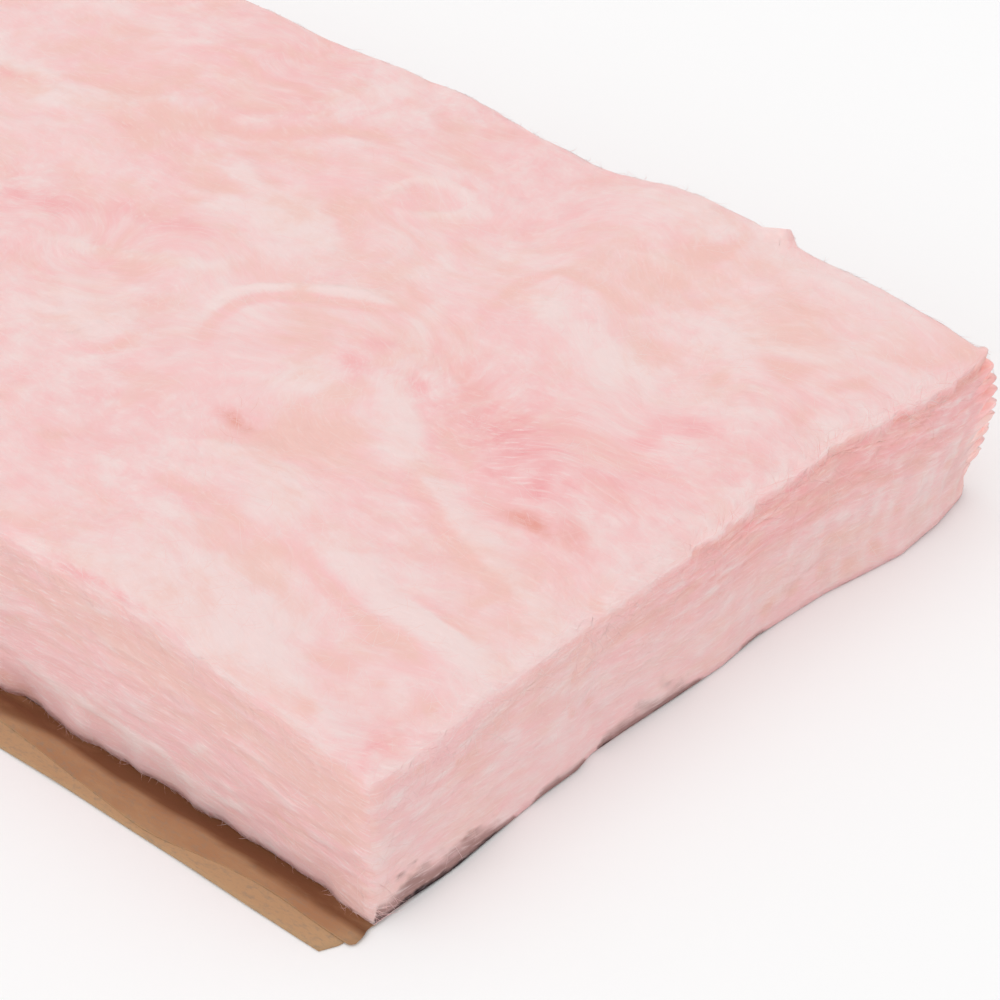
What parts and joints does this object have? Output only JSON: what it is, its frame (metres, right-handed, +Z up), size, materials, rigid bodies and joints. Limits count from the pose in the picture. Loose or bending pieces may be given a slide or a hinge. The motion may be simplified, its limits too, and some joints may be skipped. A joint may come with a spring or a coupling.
{
  "type": "fiberglass insulation batt",
  "caption": "Kraft-faced glass wool batt: a soft pink fibre slab bonded to brown paper with pleated stapling tabs, pressed between wall studs to slow heat.",
  "frame": {"origin": "middle of the kraft facing's underside, on the floor under the middle of the wool", "axes": "+X along the batt towards the cut end nearest the camera in the picture, +Y across the batt away from the pulled-out stapling tab, +Z up from the facing to the wool's top"},
  "size_m": [2.362, 0.4048, 0.089],
  "materials": {
    "wool": "matte",
    "asphalt": "satin",
    "kraft": "matte"
  },
  "bodies": {
    "root": {"glass_wool_batt": "wool", "asphalt_film": "asphalt", "kraft_facing": "kraft"}
  },
  "joints": []
}
